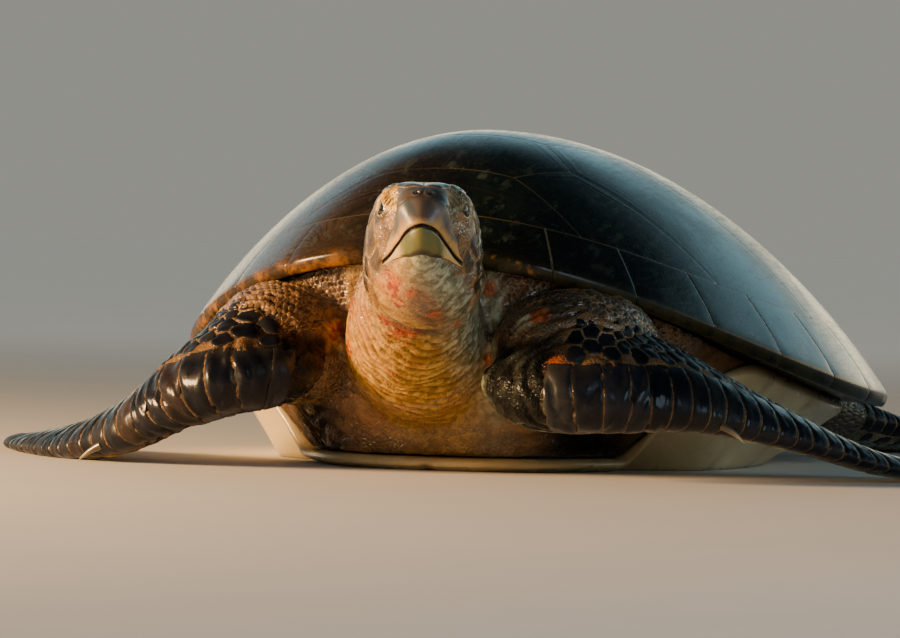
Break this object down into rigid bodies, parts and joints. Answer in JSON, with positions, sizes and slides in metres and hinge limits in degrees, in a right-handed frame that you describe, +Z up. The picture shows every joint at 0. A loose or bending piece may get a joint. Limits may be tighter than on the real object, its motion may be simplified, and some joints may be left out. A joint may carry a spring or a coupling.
{
  "type": "green sea turtle",
  "caption": "Life-size adult green sea turtle lying on its plastron, head raised and turned a little, flippers spread, as a still model.",
  "frame": {"origin": "on the floor, under the middle of the whole animal's box, tip of the beak to tips of the hind flippers", "axes": "+Z up, +Y towards the tail, so the turtle faces -Y with +X on its own left"},
  "size_m": [1.1271, 1.4156, 0.3648],
  "materials": {
    "shell": "wet horn scutes, dark olive brown, glossy",
    "plastron": "cream yellow horn plates, satin",
    "dark_skin": "wet scaly skin, dark brown with pale seams",
    "throat_skin": "wet wrinkled skin, cream with orange patches",
    "horn": "worn horn, satin",
    "eye": "wet, near-black"
  },
  "bodies": {
    "root": {"arm_left": "dark_skin", "arm_right": "dark_skin", "beak_lower": "horn", "beak_upper": "horn", "carapace": "shell", "claw_left": "horn", "claw_right": "horn", "eye_left": "eye", "eye_right": "eye", "flipper_left": "dark_skin", "flipper_right": "dark_skin", "head": "dark_skin", "hind_flipper_left": "dark_skin", "hind_flipper_right": "dark_skin", "jaw": "throat_skin", "neck": "throat_skin", "plastron": "plastron", "tail": "dark_skin", "thigh_left": "dark_skin", "thigh_right": "dark_skin", "trunk": "dark_skin"}
  },
  "joints": []
}
